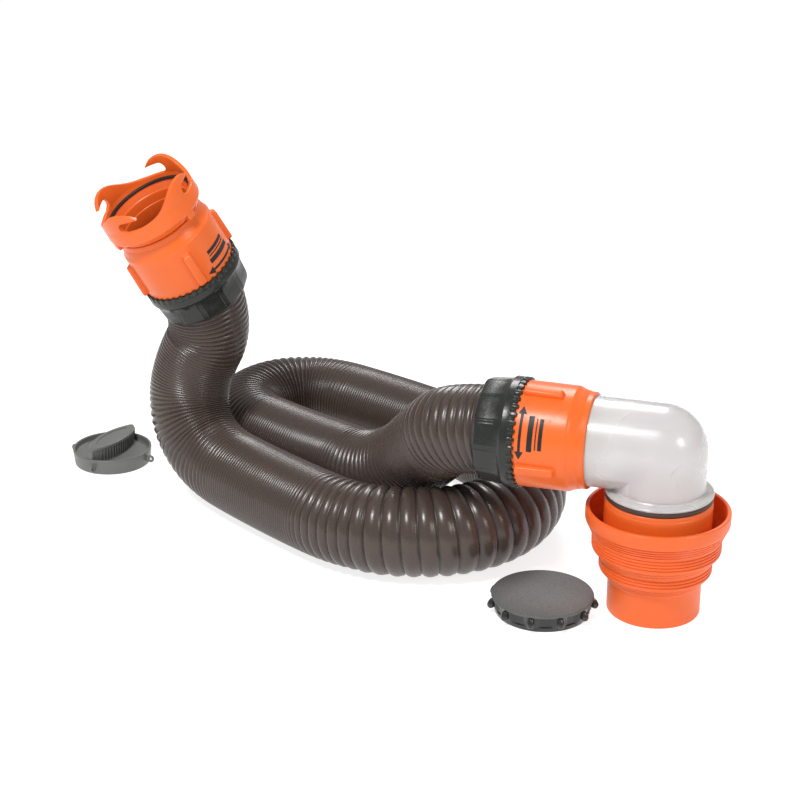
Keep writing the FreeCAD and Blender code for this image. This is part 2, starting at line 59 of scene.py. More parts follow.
# %% [markdown]
# ## Places to build in
# Each fitting is turned about its own pipe, and the two collars lean in the room. It is easiest to
# model a piece upright at the origin, in millimetres turned to metres, and to set it in place last.
# A matrix does that: its Z axis is the pipe's axis, taken from the joint that turns about it, and
# its X axis looks to the front. The collars' joints sit 60 mm along from the collar's back edge.

# %% Matrices of the fittings
SWIVEL_STATION = 60 * MM


def stand_on(origin, axis, front=Vector((0, -1, 0))):
    """A matrix whose Z axis is the pipe's axis and whose X axis looks to the front."""
    along = Vector(axis).normalized()
    across = (front - along * front.dot(along)).normalized()
    turn = Matrix((across, along.cross(across), along)).transposed()
    return Matrix.Translation(origin) @ turn.to_4x4()


def collar_place(joint_name):
    joint = joints[joint_name]
    axis = Vector(joint["axis"]).normalized()
    return stand_on(Vector(joint["pos_m"]) - axis * SWIVEL_STATION, axis)


def middle_of(node):
    low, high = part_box(node)
    return (low + high) / 2


bayonet_place = collar_place("bayonet_swivel_turn")
elbow_collar_place = collar_place("elbow_swivel_turn")
outlet_spot = Vector(joints["adapter_turn"]["pos_m"])
adapter_place = Matrix.Translation((outlet_spot.x, outlet_spot.y, 0))
elbow_axis = elbow_collar_place.col[2].to_3d()
elbow_reach = (outlet_spot - elbow_collar_place.translation).to_2d().length
elbow_heart = elbow_collar_place.translation + elbow_axis * elbow_reach
ELBOW_TURN = math.atan2(elbow_axis.y, elbow_axis.x)
elbow_place = Matrix.Translation(elbow_heart) @ Matrix.Rotation(ELBOW_TURN, 4, "Z")
lug_cap_spot = middle_of("lug_cap")
lug_cap_place = Matrix.Translation((lug_cap_spot.x, lug_cap_spot.y, 0))
lid_spot = middle_of("bayonet_cap_gasket")
lid_place = Matrix.Translation((lid_spot.x, lid_spot.y, 0))
print("elbow's heart:", [round(c, 4) for c in elbow_heart])

# %% [markdown]
# ## The camera
# The camera comes first, because the hose is laid to be seen from it.

# %% Camera
camera_data = bpy.data.cameras.new("camera")
camera_data.lens = 81
camera_data.sensor_width = 36
camera = bpy.data.objects.new("camera", camera_data)
camera.location = (0.0325, -1.7035, 0.818)
camera.rotation_euler = (math.radians(68.5), 0, 0)
bpy.context.scene.collection.objects.link(camera)
bpy.context.scene.camera = camera
print("camera looks down by", 90 - math.degrees(camera.rotation_euler.x), "degrees")

# %% [markdown]
# ## Helpers for modelling by hand
# An operator works on all that is selected. So everything is deselected before a primitive is
# added, and in edit mode vertices and faces are picked by their place. A modifier is added,
# set and applied in one step, so that no finished piece keeps a live one.

# %% Selecting and applying


def nothing_selected():
    if bpy.context.mode != "OBJECT":
        bpy.ops.object.mode_set(mode="OBJECT")
    bpy.ops.object.select_all(action="DESELECT")


def only(piece):
    nothing_selected()
    piece.select_set(True)
    bpy.context.view_layer.objects.active = piece


def name_active(name):
    piece = bpy.context.object
    piece.name = name
    piece.data.name = name
    return piece


def pick(piece, test):
    """In edit mode, select the vertices whose place passes the test."""
    only(piece)
    bpy.ops.object.mode_set(mode="EDIT")
    bpy.ops.mesh.select_mode(type="VERT")
    bpy.ops.mesh.select_all(action="DESELECT")
    bpy.ops.object.mode_set(mode="OBJECT")
    for vertex in piece.data.vertices:
        vertex.select = test(vertex.co)
    bpy.ops.object.mode_set(mode="EDIT")


def apply_modifier(piece, kind, **settings):
    only(piece)
    modifier = piece.modifiers.new(kind.lower(), kind)
    for setting, value in settings.items():
        setattr(modifier, setting, value)
    bpy.ops.object.modifier_apply(modifier=modifier.name)


def soften(piece, width, segments=3, angle=30):
    """Round the edges, as a mould does."""
    apply_modifier(piece, "BEVEL", width=width, segments=segments, limit_method="ANGLE",
                   angle_limit=math.radians(angle), use_clamp_overlap=True)


def united(piece, other, operation="UNION"):
    """Join a second closed shape to the piece, or take it away, and drop the second."""
    apply_modifier(piece, "BOOLEAN", object=other, operation=operation, solver="EXACT")
    bpy.data.objects.remove(other)
    return piece


def smooth(piece, angle=35):
    only(piece)
    bpy.ops.object.shade_smooth_by_angle(angle=math.radians(angle))


def tidy_shell(piece):
    """Merge doubled vertices and turn every face outwards."""
    only(piece)
    bpy.ops.object.mode_set(mode="EDIT")
    bpy.ops.mesh.select_all(action="SELECT")
    bpy.ops.mesh.remove_doubles(threshold=1e-6)
    bpy.ops.mesh.normals_make_consistent(inside=False)
    bpy.ops.object.mode_set(mode="OBJECT")


def set_in_place(piece, place):
    """Move the finished piece to its place and leave its object at the origin."""
    only(piece)
    piece.matrix_world = place @ piece.matrix_world
    bpy.ops.object.transform_apply(location=True, rotation=True, scale=True)


# %% [markdown]
# ## Turned pieces
# Almost every piece here is round: it could be a stack of cylinders, but a half section is closer
# to how a lathe or a mould makes it. A circle is drawn at the section's first corner and its edge
# is extruded and scaled from corner to corner. A corner on the axis closes the piece with a pole.

# %% Turn a half section


def extrude_to(radius, height, now):
    """Extrude the selected ring to a new radius and height."""
    old_radius, old_height = now
    step = (0, 0, (height - old_height) * MM)
    bpy.ops.mesh.extrude_edges_move(TRANSFORM_OT_translate={"value": step})
    ratio = max(radius, 1e-4) / old_radius
    bpy.ops.transform.resize(value=(ratio, ratio, 1), center_override=(0, 0, height * MM))


def turned(name, outline, steps=128):
    """A closed piece from a half section of (radius, height) corners in millimetres."""
    nothing_selected()
    from_axis = outline[0][0] == 0
    start = outline[1] if from_axis else outline[0]
    bpy.ops.mesh.primitive_circle_add(vertices=steps, radius=start[0] * MM,
                                      fill_type="TRIFAN" if from_axis else "NOTHING",
                                      location=(0, 0, start[1] * MM))
    piece = name_active(name)
    bpy.ops.object.transform_apply(location=True, rotation=True, scale=True)
    bpy.ops.object.mode_set(mode="EDIT")
    bpy.ops.mesh.select_mode(type="EDGE")
    bpy.ops.mesh.select_all(action="SELECT")
    if from_axis:
        bpy.ops.mesh.region_to_loop()
    corners = outline[2:] if from_axis else outline[1:] + outline[:1]
    now = start
    for radius, height in corners:
        extrude_to(radius, height, now)
        now = (max(radius, 1e-4), height)
    bpy.ops.object.mode_set(mode="OBJECT")
    tidy_shell(piece)
    return piece


def arc(centre_radius, centre_height, size, start, end, steps=8):
    """Corners of a rounded stretch of a half section, angles in degrees from the outward side."""
    corners = []
    for step in range(steps + 1):
        angle = math.radians(start + (end - start) * step / steps)
        corners.append((centre_radius + size * math.cos(angle),
                        centre_height + size * math.sin(angle)))
    return corners


def block(name, size, centre, bevel=0.0, segments=3):
    """A box with rounded edges, in millimetres."""
    nothing_selected()
    bpy.ops.mesh.primitive_cube_add(size=1, location=[c * MM for c in centre])
    piece = name_active(name)
    piece.scale = [c * MM for c in size]
    bpy.ops.object.transform_apply(location=True, rotation=True, scale=True)
    if bevel:
        bpy.ops.object.mode_set(mode="EDIT")
        bpy.ops.mesh.select_all(action="SELECT")
        bpy.ops.mesh.bevel(offset=bevel * MM, segments=segments, affect="EDGES")
        bpy.ops.object.mode_set(mode="OBJECT")
    return piece


def turned_copies(piece, count, first=0.0):
    """Copies of a piece set round the Z axis, each with its own mesh; the piece is the first."""
    copies = []
    for index in range(count):
        copy = piece if index == 0 else piece.copy()
        if index:
            copy.data = piece.data.copy()
            bpy.context.scene.collection.objects.link(copy)
        copies.append(copy)
    for index, copy in enumerate(copies):
        angle = math.radians(first + 360.0 * index / count)
        set_in_place(copy, Matrix.Rotation(angle, 4, "Z"))
    return copies


def joined(name, pieces):
    """Make one object of several shapes."""
    nothing_selected()
    for piece in pieces:
        piece.select_set(True)
    bpy.context.view_layer.objects.active = pieces[0]
    if len(pieces) > 1:
        bpy.ops.object.join()
    return name_active(name)


# %% [markdown]
# ## Shader maths
# A finish is a network of nodes, but long chains of Add and Multiply are hard to read. A small
# class wraps a node's output, so that an expression such as 1 - mask * 0.4 adds the nodes itself.

# %% Socket arithmetic


class Output:
    """A node's output that takes part in Python arithmetic."""

    def __init__(self, finish, socket):
        self.finish = finish
        self.socket = socket

    def maths(self, operation, first, second):
        return self.finish.node("ShaderNodeMath", {0: first, 1: second}, operation=operation)

    def __add__(self, other):
        return self.maths("ADD", self, other)

    __radd__ = __add__

    def __sub__(self, other):
        return self.maths("SUBTRACT", self, other)

    def __rsub__(self, other):
        return self.maths("SUBTRACT", other, self)

    def __mul__(self, other):
        return self.maths("MULTIPLY", self, other)

    __rmul__ = __mul__

    def __pow__(self, other):
        return self.maths("POWER", self, other)


class Finish:
    """A material and its nodes."""

    def __init__(self, name):
        self.material = bpy.data.materials.new(name)
        self.material.use_nodes = True
        self.tree = self.material.node_tree
        self.shader = self.tree.nodes["Principled BSDF"]

    def feed(self, socket, value):
        if isinstance(value, Output):
            self.tree.links.new(value.socket, socket)
        else:
            socket.default_value = value

    def node(self, kind, values=None, output=0, **settings):
        made = self.tree.nodes.new(kind)
        stops = settings.pop("stops", None)
        for setting, value in settings.items():
            setattr(made, setting, value)
        if stops:
            for element, (position, shade) in zip(made.color_ramp.elements, stops):
                element.position = position
                element.color = (shade, shade, shade, 1)
        for key, value in (values or {}).items():
            self.feed(made.inputs[key], value)
        return Output(self, made.outputs[output])

    def place(self):
        return self.node("ShaderNodeTexCoord", output="Object")

    def noise(self, scale, detail=4.0, roughness=0.5, where=None):
        return self.node("ShaderNodeTexNoise", {"Vector": where or self.place(), "Scale": scale,
                                                "Detail": detail, "Roughness": roughness})

    def ramp(self, value, low, high):
        return self.node("ShaderNodeValToRGB", {"Fac": value}, stops=((low, 0.0), (high, 1.0)))

    def blend(self, amount, first, second):
        """Mix two colours."""
        made = self.tree.nodes.new("ShaderNodeMix")
        made.data_type = "RGBA"
        for key, value in ((0, amount), (6, first), (7, second)):
            self.feed(made.inputs[key], value)
        return Output(self, made.outputs[2])

    def set(self, **values):
        for name, value in values.items():
            self.feed(self.shader.inputs[name.replace("_", " ")], value)

    def bump(self, height, distance, strength=1.0):
        normal = self.node("ShaderNodeBump", {"Height": height, "Distance": distance,
                                              "Strength": strength})
        self.feed(self.shader.inputs["Normal"], normal)


def shade(colour, factor):
    return tuple(min(1.0, channel * factor) for channel in colour[:3]) + (1.0,)


# %% [markdown]
# ## Moulded plastic
# The collars, rings and caps are injection moulded. Plain colour with one roughness looks like a
# toy, so a cloudy noise shifts the colour a little, a finer one breaks the gloss into faint flow
# marks and handling scuffs, and a very fine bump gives the skin of the mould.

# %% Plastic finishes


def moulded(name, colour, roughness=0.3, cloud=0.06, grain=1100.0, grain_depth=0.00003,
            scuff=0.12, coat=0.0, glow=0.0, sheen=0.4):
    finish = Finish(name)
    clouds = finish.noise(22.0, 3.0)
    marks = finish.ramp(finish.noise(140.0, 8.0, 0.7), 0.48, 0.72)
    base = finish.blend(clouds, shade(colour, 1 - cloud), shade(colour, 1 + cloud))
    base = finish.blend(marks * 0.10, base, shade(colour, 1.25))
    finish.set(Base_Color=base, Roughness=marks * scuff + clouds * 0.06 + (roughness - 0.03))
    finish.set(Coat_Weight=coat, Coat_Roughness=0.18, Specular_IOR_Level=sheen)
    if glow:
        finish.set(Subsurface_Weight=glow, Subsurface_Radius=(0.004, 0.0012, 0.0006))
    skin = finish.noise(grain, 2.0)
    ripple = finish.noise(55.0, 2.0)
    finish.bump(skin + ripple * 3.0, grain_depth)
    return finish.material


ORANGE = (0.83, 0.142, 0.020)
SOFT_ORANGE = (0.84, 0.135, 0.022)
BLACK = (0.018, 0.020, 0.017)
orange_plastic = moulded("orange_moulding", ORANGE, roughness=0.30, glow=0.06)
orange_rubber = moulded("soft_orange", SOFT_ORANGE, roughness=0.40, grain=700.0, glow=0.05)
black_plastic = moulded("black_moulding", BLACK, roughness=0.24, cloud=0.15, scuff=0.16,
                        grain=500.0, grain_depth=0.00005)
lug_grey = moulded("lug_grey", (0.15, 0.152, 0.145), roughness=0.40, cloud=0.08, scuff=0.15)
knob_grey = moulded("knob_grey", (0.020, 0.021, 0.020), roughness=0.16, cloud=0.10, coat=0.4)
seal_rubber = moulded("black_rubber", (0.014, 0.014, 0.013), roughness=0.5, cloud=0.2)
brown_gasket = moulded("brown_rubber", (0.055, 0.030, 0.022), roughness=0.42, cloud=0.2)
ink = moulded("ink", (0.010, 0.009, 0.009), roughness=0.45, cloud=0.3)
print("plastics:", orange_plastic.name, black_plastic.name, lug_grey.name)

# %% [markdown]
# ## Leather-grained plastic
# The top of the bayonet cap has the pebbled grain of a dashboard. A Voronoi texture gives the
# pebbles: its distance to the edge of each cell makes the fine valleys between them, which are
# also painted darker, as painted shade.

# %% Grained finish


def grained(name, colour):
    finish = Finish(name)
    place = finish.place()
    cells = finish.node("ShaderNodeTexVoronoi", {"Vector": place, "Scale": 620.0},
                        feature="DISTANCE_TO_EDGE")
    pebbles = finish.ramp(cells, 0.02, 0.22)
    clouds = finish.noise(30.0, 4.0)
    # Painted shade: the valleys between the pebbles are darker than their tops.
    base = finish.blend(pebbles, shade(colour, 0.72), shade(colour, 1.08))
    base = finish.blend(clouds * 0.4, base, shade(colour, 1.2))
    finish.set(Base_Color=base, Roughness=0.60 - pebbles * 0.14)
    finish.bump(pebbles + finish.noise(1500.0, 2.0) * 0.3, 0.00010)
    return finish.material


lid_grey = grained("lid_grey", (0.108, 0.112, 0.108))

# %% [markdown]
# ## Clear plastic
# The elbow is see-through so that its owner can tell when the hose has rinsed clean. New, it is
# milky: light enters, scatters and comes out softened. So it gets some transmission, a rough
# inside and a scatter colour, instead of plain glass, which would look like a bottle.

# %% Clear finish


def clear_elbow(name):
    finish = Finish(name)
    clouds = finish.ramp(finish.noise(9.0, 2.0), 0.35, 0.65)
    base = finish.blend(clouds, (0.86, 0.83, 0.86, 1), (0.97, 0.945, 0.91, 1))
    finish.set(Base_Color=base, Roughness=clouds * 0.08 + 0.22, IOR=1.49)
    finish.set(Transmission_Weight=0.55, Coat_Weight=0.4, Coat_Roughness=0.08)
    finish.set(Subsurface_Weight=0.15, Subsurface_Radius=(0.012, 0.009, 0.008))
    return finish.material


clear_plastic = clear_elbow("milky_clear")

# %% [markdown]
# ## Hose vinyl
# The hose is brown-black vinyl over a wire helix. Its crests have a soft sheen, and its creases
# are painted dark, as painted shade. The mesh will carry an attribute that says how deep in a
# crease a point is, so the finish can paint shade and roughen there, wherever the hose bends.

# %% Vinyl finish


def hose_vinyl_finish(name):
    finish = Finish(name)
    depth = finish.node("ShaderNodeAttribute", output="Fac", attribute_name="crease")
    clouds = finish.noise(14.0, 4.0)
    streaks = finish.noise(240.0, 5.0, 0.65)
    vinyl_tone = finish.blend(clouds, (0.050, 0.033, 0.027, 1), (0.068, 0.047, 0.039, 1))
    vinyl_tone = finish.blend(streaks * 0.35, vinyl_tone, (0.084, 0.062, 0.053, 1))
    # Painted shade: deep in the creases the base colour goes nearly black.
    base = finish.blend(depth, vinyl_tone, (0.004, 0.0035, 0.003, 1))
    finish.set(Base_Color=base, Roughness=depth * 0.25 + streaks * 0.10 + 0.22)
    finish.bump(streaks + finish.noise(900.0, 2.0) * 0.5, 0.00006)
    return finish.material


hose_vinyl = hose_vinyl_finish("ribbed_vinyl")
print("vinyl:", hose_vinyl.name)

# %% [markdown]
# ## The hose's line
# The hose is one NURBS spline whose control points are its route: out of the bayonet collar, down
# to the floor, round two loose turns and up into the elbow's collar. With each point goes the
# pitch of the corrugation there, because the hose is pushed together in its straight stretches,
# fine as a comb, and pulled open at its bends, where the ribs stand wide and tall.

# %% Route and spline
REST = 43.7
OPEN_REST = 45.2
INSERTED = 14.5
LEAD = 66.0


def on_axis(place, station):
    return tuple(c / MM for c in place @ Vector((0, 0, station * MM)))


# x, y, z and pitch, all in millimetres
ROUTE = [
    (*on_axis(bayonet_place, INSERTED), 9.0),
    (*on_axis(bayonet_place, -LEAD), 5.0),
    (-197, 130, 127, 3.0),
    (-197, 118, 77, 6.5),
    (-170, 86, 44.5, 8.0),
    (-119, 25, REST, 3.6),
    (-63, -36, REST, 3.1),
    (-22, -78, OPEN_REST, 9.0),
    (28, -98, OPEN_REST, 14.5),
    (87, -97, OPEN_REST, 14.5),
    (138, -64, OPEN_REST, 14.5),
    (164, -6, OPEN_REST, 14.5),
    (158, 58, OPEN_REST, 12.0),
    (123, 118, REST, 3.3),
    (78, 172, REST, 3.2),
    (15, 230, REST, 3.2),
    (-51, 285, REST, 6.0),
    (-106, 283, 44.5, 8.0),
    (-143, 243, 44.5, 8.0),
    (-143, 189, REST, 6.5),
    (-92, 134, REST, 3.2),
    (-36, 84, REST, 3.4),
    (0, 43, 47, 8.5),
    (38, 3, 74, 9.0),
    (66, -48, 123, 3.6),
    (*on_axis(elbow_collar_place, -LEAD), 7.0),
    (*on_axis(elbow_collar_place, INSERTED), 10.0),
]
PER_SPAN = 40
ORDER = 3

curve = bpy.data.curves.new("hose_line", "CURVE")
curve.dimensions = "3D"
curve.resolution_u = PER_SPAN
spline = curve.splines.new("NURBS")
spline.points.add(len(ROUTE) - 1)
for point, (x, y, z, _) in zip(spline.points, ROUTE):
    point.co = (x * MM, y * MM, z * MM, 1)
spline.order_u = ORDER
spline.use_endpoint_u = True
spline.resolution_u = PER_SPAN
hose_line = bpy.data.objects.new("hose_line", curve)
bpy.context.scene.collection.objects.link(hose_line)
line_mesh = bpy.data.meshes.new_from_object(hose_line)
line = [vertex.co.copy() for vertex in line_mesh.vertices]
bpy.data.objects.remove(hose_line)
gone = [0.0]
for before, after in zip(line, line[1:]):
    gone.append(gone[-1] + (after - before).length)
HOSE_LENGTH = gone[-1]
print(f"hose line: {len(line)} points, {HOSE_LENGTH:.3f} m")

# %% [markdown]
# ## The corrugated wall
# A bevel on the curve would give a smooth pipe. The real wall follows the wire, which is a helix,
# so the tube is built ring by ring: the radius falls into a crease once in every turn of the wire,
# and the crease creeps along as the angle goes round. Where ribs are wide, the wire shows as a
# thin bead beside the crease. Rings are set closer where the ribs are fine.

# %% Pitch and turns of the wire
SIDES = 42
FINE_PITCH, OPEN_PITCH = 3.2, 14.5
CROWN, CROWN_GROWTH = 43.4, 1.3
FINE_DEPTH, DEPTH_GROWTH = 1.1, 3.4
BEAD_PHASE, BEAD_SPREAD, BEAD_HEIGHT = 0.90, 0.045, 0.9
FINE_RINGS, MORE_RINGS = 5, 10


def eased(amount):
    amount = min(1.0, max(0.0, amount))
    return amount * amount * (3 - 2 * amount)


def openness_at(pitch):
    """0 where the hose is pushed together and 1 where it is pulled open."""
    return eased((pitch - FINE_PITCH) / (OPEN_PITCH - FINE_PITCH))


def pitch_at(index):
    """Pitch in millimetres at a sample of the line, which runs evenly through the spans."""
    station = index / (len(line) - 1) * (len(ROUTE) - ORDER + 1) + 0.5
    low = min(int(station), len(ROUTE) - 2)
    share = eased((station - low - 0.15) / 0.7)
    return ROUTE[low][3] * (1 - share) + ROUTE[low + 1][3] * share


pitches = [pitch_at(index) for index in range(len(line))]
turns = [0.0]
for index in range(1, len(line)):
    turns.append(turns[-1] + (gone[index] - gone[index - 1]) / (pitches[index] * MM))


# %% Directions along the line


def frames_along(points):
    """A side vector at each point that doesn't twist about the line."""
    tangents = []
    for index in range(len(points)):
        ahead = points[min(index + 1, len(points) - 1)]
        tangents.append((ahead - points[max(index - 1, 0)]).normalized())
    side = tangents[0].orthogonal().normalized()
    sides = []
    for tangent in tangents:
        side = (side - tangent * side.dot(tangent)).normalized()
        sides.append(side)
    return tangents, sides


tangents, side_vectors = frames_along(line)


def sample(distance):
    """Place, direction, side vector, pitch and turns of wire at a distance along the line."""
    low = min(max(bisect.bisect_right(gone, distance) - 1, 0), len(line) - 2)
    share = (distance - gone[low]) / (gone[low + 1] - gone[low])
    values = (line, tangents, side_vectors, pitches, turns)
    return [value[low] * (1 - share) + value[low + 1] * share for value in values]


# %% Ribs, creases and beads


def rib_shape(turn, openness):
    """Height of the wall between crease and crest, and the bead, both 0 to 1, at a turn."""
    phase = turn % 1.0
    crest = math.sin(math.pi * phase) ** (0.85 - 0.30 * openness)
    bead = openness * math.exp(-(((phase - BEAD_PHASE) / BEAD_SPREAD) ** 2))
    return crest, bead


def hose_wall():
    """Vertices, faces and crease values of the wall, and the middle of each of its rings."""
    vertices, faces, creases, path, rings = [], [], [], [], []
    distance = 0.0
    while distance < HOSE_LENGTH:
        rings.append(distance)
        pitch = sample(distance)[3]
        distance += pitch * MM / (FINE_RINGS + MORE_RINGS * openness_at(pitch))
    for distance in rings:
        centre, tangent, side, pitch, turn = sample(distance)
        path.append(centre)
        other = tangent.normalized().cross(side)
        openness = openness_at(pitch)
        crown = CROWN + CROWN_GROWTH * eased((pitch - 9.0) / 5.0)
        depth = FINE_DEPTH + DEPTH_GROWTH * openness ** 0.6
        for step in range(SIDES):
            angle = 2 * math.pi * step / SIDES
            crest, bead = rib_shape(turn - step / SIDES, openness)
            radius = crown - depth * (1 - crest) + BEAD_HEIGHT * bead
            spoke = side * math.cos(angle) + other * math.sin(angle)
            vertices.append(centre + spoke * radius * MM)
            # How deep in a crease each point lies; the finish uses it to paint shade there.
            creases.append(max(0.0, 1 - crest * 1.9) * (0.75 + 0.25 * openness) * (1 - bead))
    for ring in range(len(rings) - 1):
        for step in range(SIDES):
            after = (step + 1) % SIDES
            low, high = ring * SIDES, (ring + 1) * SIDES
            faces.append((low + step, low + after, high + after, high + step))
    return vertices, faces, creases, path


# %% Mesh of the wall
wall_vertices, wall_faces, wall_creases, hose_path = hose_wall()
hose_mesh = bpy.data.meshes.new("hose_wall")
hose_mesh.from_pydata(wall_vertices, [], wall_faces)
crease = hose_mesh.attributes.new("crease", "FLOAT", "POINT")
crease.data.foreach_set("value", wall_creases)
hose = bpy.data.objects.new("hose_wall", hose_mesh)
bpy.context.scene.collection.objects.link(hose)
only(hose)
bpy.ops.object.shade_smooth()
bpy.ops.object.mode_set(mode="EDIT")
bpy.ops.mesh.select_all(action="DESELECT")
bpy.ops.mesh.select_non_manifold()
bpy.ops.mesh.edge_face_add()
bpy.ops.mesh.select_all(action="SELECT")
bpy.ops.mesh.normals_make_consistent(inside=False)
bpy.ops.object.mode_set(mode="OBJECT")
hose.data.materials.append(hose_vinyl)
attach(hose, "hose_run")
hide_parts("hose")
print(f"hose: {len(wall_faces) * 2} triangles, {len(hose_path)} rings")

# %% [markdown]
# ## Handing a piece over
# Every finished piece is smoothed, given its finish, set in its place and tied to the CAD body
# that it moves with. It also hides the CAD node that it stands for, so one function does all of it.

# %% Hand over a piece


def hand_over(piece, place, body, finish, replaces=None, angle=35):
    set_in_place(piece, place)
    smooth(piece, angle)
    piece.data.materials.clear()
    piece.data.materials.append(finish)
    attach(piece, body)
    if replaces:
        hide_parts(replaces)
    print(f"{piece.name}: {len(piece.data.polygons)} faces on {body}")
    return piece


# %% [markdown]
# ## The two collars
# A collar is a cup with a shouldered nose. Four ribs give the hand a grip. They could be bevelled
# in place, but a rib with its own round edges that sinks into the wall is simpler and looks cast.

# %% Collars
COLLAR_BODY = 50.5
RIB_FIRST = 19.0
RIB_COUNT = 4


def make_collar(end, place):
    outline = [
        (46.0, 0.0),
        (49.4, 0.0),
        (50.3, 0.8),
        (COLLAR_BODY, 3.0),
        (50.2, 44.0),
        *arc(45.7, 48.8, 4.5, 0, 40, 5),
        (47.6, 55.6),
        (46.4, 61.0),
        (46.1, 61.4),
        (46.0, 66.2),
        (45.2, 67.3),
        (43.3, 67.4),
        (43.2, 56.2),
        (46.0, 56.0),
    ]
    collar = turned(f"{end}_collar_shell", outline, 160)
    soften(collar, 0.35 * MM, 2)
    rib = block("rib", (8.0, 9.6, 38.5), (51.9, 0, 23.0), 2.2, 5)
    pick(rib, lambda spot: spot.z > 38 * MM and spot.x > 52 * MM)
    bpy.ops.transform.translate(value=(-0.9 * MM, 0, -1.8 * MM))
    bpy.ops.object.mode_set(mode="OBJECT")
    ribs = turned_copies(rib, RIB_COUNT, RIB_FIRST)
    for one in ribs:
        united(collar, one)
    return hand_over(collar, place, "hose_run", orange_plastic, f"{end}_collar")


make_collar("bayonet", bayonet_place)
elbow_collar = make_collar("elbow", elbow_collar_place)

# %% [markdown]
# ## The hose's length
# The hose leaves the bayonet's collar and ends in the elbow's, both pushed in against a seal. Its
# length is that of its line as it lies here, pushed together; pulled out it would reach further.

# %% [markdown]
# ## Arrows on the collars
# A printed double arrow runs round each collar and shows which way its locking ring turns, with
# plain bars beside it. They could be a picture on the surface, but thin shapes stay sharp from any
# distance: each is drawn flat, cut into narrow strips so that it can bend, and wrapped round.

# %% Printed arrows


def flat_shape(name, corners, thick):
    """A flat closed outline in millimetres, x round the collar and y along it, with thickness."""
    nothing_selected()
    bpy.ops.mesh.primitive_circle_add(vertices=len(corners), radius=MM, fill_type="NGON")
    piece = name_active(name)
    bpy.ops.object.transform_apply(location=True, rotation=True, scale=True)
    for vertex, (across, up) in zip(piece.data.vertices, corners):
        vertex.co = (across * MM, up * MM, 0)
    bpy.ops.object.mode_set(mode="EDIT")
    bpy.ops.mesh.select_all(action="SELECT")
    bpy.ops.mesh.extrude_region_move(TRANSFORM_OT_translate={"value": (0, 0, thick * MM)})
    bpy.ops.mesh.select_all(action="SELECT")
    bpy.ops.mesh.normals_make_consistent(inside=False)
    bpy.ops.object.mode_set(mode="OBJECT")
    return piece


def sliced(piece, step):
    """Cut a flat shape across, every so many millimetres, so that it can bend."""
    only(piece)
    low = min(vertex.co.x for vertex in piece.data.vertices)
    high = max(vertex.co.x for vertex in piece.data.vertices)
    count = max(1, int((high - low) / (step * MM)))
    bpy.ops.object.mode_set(mode="EDIT")
    for index in range(1, count):
        bpy.ops.mesh.select_all(action="SELECT")
        at = low + (high - low) * index / count
        bpy.ops.mesh.bisect(plane_co=(at, 0, 0), plane_no=(1, 0, 0))
    bpy.ops.object.mode_set(mode="OBJECT")


def wrapped(piece, radius, angle):
    """Bend a flat shape round the Z axis: x goes round, y goes up, z goes outwards."""
    for vertex in piece.data.vertices:
        turn = math.radians(angle) + vertex.co.x / (radius * MM)
        reach = radius * MM + vertex.co.z
        up = vertex.co.y
        vertex.co = (reach * math.cos(turn), reach * math.sin(turn), up)
    tidy_shell(piece)


def arrow_corners(half, head, shaft, head_width):
    """A double arrow of half its length, length of head, and half widths of shaft and head."""
    right = [(half - head, -shaft), (half - head, -head_width), (half, 0),
             (half - head, head_width), (half - head, shaft)]
    left = [(-across, -up) for across, up in right]
    return right + left


INK_THICK = 0.12
ARROW_UP = 7.5
# Height, half length and width of the plain bars, where a label would be.
BARS = ((14.5, 17.0, 5.0), (22.0, 15.0, 1.0), (25.0, 15.0, 3.6))
for end, place, angle in (("bayonet", bayonet_place, 60.0), ("elbow", elbow_collar_place, -22.0)):
    corners = [(across, up + ARROW_UP) for across, up in arrow_corners(26.0, 8.0, 1.3, 4.2)]
    arrow = flat_shape(f"{end}_collar_arrow", corners, INK_THICK)
    marks = [arrow]
    for up, half, wide in BARS:
        top = up + wide
        bar = flat_shape("bar", [(-half, up), (half, up), (half, top), (-half, top)], INK_THICK)
        marks.append(bar)
    for mark in marks:
        sliced(mark, 1.5)
        wrapped(mark, COLLAR_BODY + 0.03, angle)
    hand_over(joined(f"{end}_collar_arrow", marks), place, "hose_run", ink)

# %% [markdown]
# ## Locking rings
# The black ring closes the collet round the hose. Its front edge bites into the collar with fine
# teeth, behind it is a smooth band, and its tapered back has flats for the fingers. The teeth and
# flats start as a plain turned ring: vertices are picked by their angle and drawn in or out.

# %% Locking rings
TOOTH_COUNT = 40
STEPS_PER_TOOTH = 6
TOOTH_DEPTH = 0.022
FLAT_COUNT = 12
FLATS_START = -12.5
FLUTE_DEPTH = 0.014


